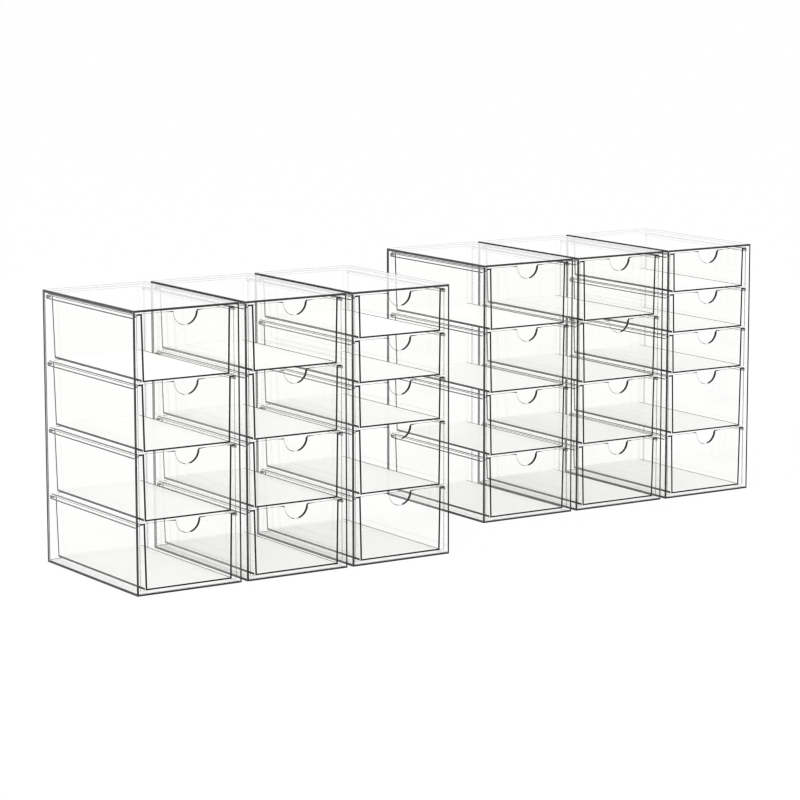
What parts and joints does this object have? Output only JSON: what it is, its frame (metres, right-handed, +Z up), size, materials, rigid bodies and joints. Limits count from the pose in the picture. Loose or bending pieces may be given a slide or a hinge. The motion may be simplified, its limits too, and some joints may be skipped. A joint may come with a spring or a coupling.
{
  "type": "stackable storage drawers",
  "caption": "Free-standing clear acrylic drawer towers in two banks; open-top drawers with half-moon finger notches hang on runner ribs and slide out of the front.",
  "frame": {"origin": "bottom centre of the box round both banks, on the surface they stand on", "axes": "+X right along the fronts, +Y towards the backs, +Z up; drawers open along -Y"},
  "size_m": [1.208, 0.43, 0.4],
  "materials": {
    "housing_acrylic": "clear polished sheet, darker at its cut edges",
    "drawer_acrylic": "clear moulded, polished"
  },
  "bodies": {
    "housings": {"tower_1_top_panel": "housing_acrylic", "tower_1_base_panel": "housing_acrylic", "tower_1_back_panel": "housing_acrylic", "tower_1_left_side_panel": "housing_acrylic", "tower_1_right_side_panel": "housing_acrylic", "tower_2_top_panel": "housing_acrylic", "tower_2_base_panel": "housing_acrylic", "tower_2_back_panel": "housing_acrylic", "tower_2_left_side_panel": "housing_acrylic", "tower_2_right_side_panel": "housing_acrylic", "tower_3_top_panel": "housing_acrylic", "tower_3_base_panel": "housing_acrylic", "tower_3_back_panel": "housing_acrylic", "tower_3_left_side_panel": "housing_acrylic", "tower_3_right_side_panel": "housing_acrylic", "tower_4_top_panel": "housing_acrylic", "tower_4_base_panel": "housing_acrylic", "tower_4_back_panel": "housing_acrylic", "tower_4_left_side_panel": "housing_acrylic", "tower_4_right_side_panel": "housing_acrylic", "tower_5_top_panel": "housing_acrylic", "tower_5_base_panel": "housing_acrylic", "tower_5_back_panel": "housing_acrylic", "tower_5_left_side_panel": "housing_acrylic", "tower_5_right_side_panel": "housing_acrylic", "tower_6_top_panel": "housing_acrylic", "tower_6_base_panel": "housing_acrylic", "tower_6_back_panel": "housing_acrylic", "tower_6_left_side_panel": "housing_acrylic", "tower_6_right_side_panel": "housing_acrylic"},
    "tower_1_drawer_1": {"tower_1_drawer_1": "drawer_acrylic"},
    "tower_1_drawer_2": {"tower_1_drawer_2": "drawer_acrylic"},
    "tower_1_drawer_3": {"tower_1_drawer_3": "drawer_acrylic"},
    "tower_1_drawer_4": {"tower_1_drawer_4": "drawer_acrylic"},
    "tower_2_drawer_1": {"tower_2_drawer_1": "drawer_acrylic"},
    "tower_2_drawer_2": {"tower_2_drawer_2": "drawer_acrylic"},
    "tower_2_drawer_3": {"tower_2_drawer_3": "drawer_acrylic"},
    "tower_2_drawer_4": {"tower_2_drawer_4": "drawer_acrylic"},
    "tower_3_drawer_1": {"tower_3_drawer_1": "drawer_acrylic"},
    "tower_3_drawer_2": {"tower_3_drawer_2": "drawer_acrylic"},
    "tower_3_drawer_3": {"tower_3_drawer_3": "drawer_acrylic"},
    "tower_3_drawer_4": {"tower_3_drawer_4": "drawer_acrylic"},
    "tower_3_drawer_5": {"tower_3_drawer_5": "drawer_acrylic"},
    "tower_4_drawer_1": {"tower_4_drawer_1": "drawer_acrylic"},
    "tower_4_drawer_2": {"tower_4_drawer_2": "drawer_acrylic"},
    "tower_4_drawer_3": {"tower_4_drawer_3": "drawer_acrylic"},
    "tower_4_drawer_4": {"tower_4_drawer_4": "drawer_acrylic"},
    "tower_5_drawer_1": {"tower_5_drawer_1": "drawer_acrylic"},
    "tower_5_drawer_2": {"tower_5_drawer_2": "drawer_acrylic"},
    "tower_5_drawer_3": {"tower_5_drawer_3": "drawer_acrylic"},
    "tower_5_drawer_4": {"tower_5_drawer_4": "drawer_acrylic"},
    "tower_6_drawer_1": {"tower_6_drawer_1": "drawer_acrylic"},
    "tower_6_drawer_2": {"tower_6_drawer_2": "drawer_acrylic"},
    "tower_6_drawer_3": {"tower_6_drawer_3": "drawer_acrylic"},
    "tower_6_drawer_4": {"tower_6_drawer_4": "drawer_acrylic"},
    "tower_6_drawer_5": {"tower_6_drawer_5": "drawer_acrylic"}
  },
  "joints": [
    {"name": "tower_1_drawer_1_slide", "type": "slide", "parent": "housings", "child": "tower_1_drawer_1", "axis": [0, -1, 0], "range_m": [0, 0.22]},
    {"name": "tower_1_drawer_2_slide", "type": "slide", "parent": "housings", "child": "tower_1_drawer_2", "axis": [0, -1, 0], "range_m": [0, 0.22]},
    {"name": "tower_1_drawer_3_slide", "type": "slide", "parent": "housings", "child": "tower_1_drawer_3", "axis": [0, -1, 0], "range_m": [0, 0.22]},
    {"name": "tower_1_drawer_4_slide", "type": "slide", "parent": "housings", "child": "tower_1_drawer_4", "axis": [0, -1, 0], "range_m": [0, 0.22]},
    {"name": "tower_2_drawer_1_slide", "type": "slide", "parent": "housings", "child": "tower_2_drawer_1", "axis": [0, -1, 0], "range_m": [0, 0.22]},
    {"name": "tower_2_drawer_2_slide", "type": "slide", "parent": "housings", "child": "tower_2_drawer_2", "axis": [0, -1, 0], "range_m": [0, 0.22]},
    {"name": "tower_2_drawer_3_slide", "type": "slide", "parent": "housings", "child": "tower_2_drawer_3", "axis": [0, -1, 0], "range_m": [0, 0.22]},
    {"name": "tower_2_drawer_4_slide", "type": "slide", "parent": "housings", "child": "tower_2_drawer_4", "axis": [0, -1, 0], "range_m": [0, 0.22]},
    {"name": "tower_3_drawer_1_slide", "type": "slide", "parent": "housings", "child": "tower_3_drawer_1", "axis": [0, -1, 0], "range_m": [0, 0.22]},
    {"name": "tower_3_drawer_2_slide", "type": "slide", "parent": "housings", "child": "tower_3_drawer_2", "axis": [0, -1, 0], "range_m": [0, 0.22]},
    {"name": "tower_3_drawer_3_slide", "type": "slide", "parent": "housings", "child": "tower_3_drawer_3", "axis": [0, -1, 0], "range_m": [0, 0.22]},
    {"name": "tower_3_drawer_4_slide", "type": "slide", "parent": "housings", "child": "tower_3_drawer_4", "axis": [0, -1, 0], "range_m": [0, 0.22]},
    {"name": "tower_3_drawer_5_slide", "type": "slide", "parent": "housings", "child": "tower_3_drawer_5", "axis": [0, -1, 0], "range_m": [0, 0.22]},
    {"name": "tower_4_drawer_1_slide", "type": "slide", "parent": "housings", "child": "tower_4_drawer_1", "axis": [0, -1, 0], "range_m": [0, 0.22]},
    {"name": "tower_4_drawer_2_slide", "type": "slide", "parent": "housings", "child": "tower_4_drawer_2", "axis": [0, -1, 0], "range_m": [0, 0.22]},
    {"name": "tower_4_drawer_3_slide", "type": "slide", "parent": "housings", "child": "tower_4_drawer_3", "axis": [0, -1, 0], "range_m": [0, 0.22]},
    {"name": "tower_4_drawer_4_slide", "type": "slide", "parent": "housings", "child": "tower_4_drawer_4", "axis": [0, -1, 0], "range_m": [0, 0.22]},
    {"name": "tower_5_drawer_1_slide", "type": "slide", "parent": "housings", "child": "tower_5_drawer_1", "axis": [0, -1, 0], "range_m": [0, 0.22]},
    {"name": "tower_5_drawer_2_slide", "type": "slide", "parent": "housings", "child": "tower_5_drawer_2", "axis": [0, -1, 0], "range_m": [0, 0.22]},
    {"name": "tower_5_drawer_3_slide", "type": "slide", "parent": "housings", "child": "tower_5_drawer_3", "axis": [0, -1, 0], "range_m": [0, 0.22]},
    {"name": "tower_5_drawer_4_slide", "type": "slide", "parent": "housings", "child": "tower_5_drawer_4", "axis": [0, -1, 0], "range_m": [0, 0.22]},
    {"name": "tower_6_drawer_1_slide", "type": "slide", "parent": "housings", "child": "tower_6_drawer_1", "axis": [0, -1, 0], "range_m": [0, 0.22]},
    {"name": "tower_6_drawer_2_slide", "type": "slide", "parent": "housings", "child": "tower_6_drawer_2", "axis": [0, -1, 0], "range_m": [0, 0.22]},
    {"name": "tower_6_drawer_3_slide", "type": "slide", "parent": "housings", "child": "tower_6_drawer_3", "axis": [0, -1, 0], "range_m": [0, 0.22]},
    {"name": "tower_6_drawer_4_slide", "type": "slide", "parent": "housings", "child": "tower_6_drawer_4", "axis": [0, -1, 0], "range_m": [0, 0.22]},
    {"name": "tower_6_drawer_5_slide", "type": "slide", "parent": "housings", "child": "tower_6_drawer_5", "axis": [0, -1, 0], "range_m": [0, 0.22]}
  ]
}
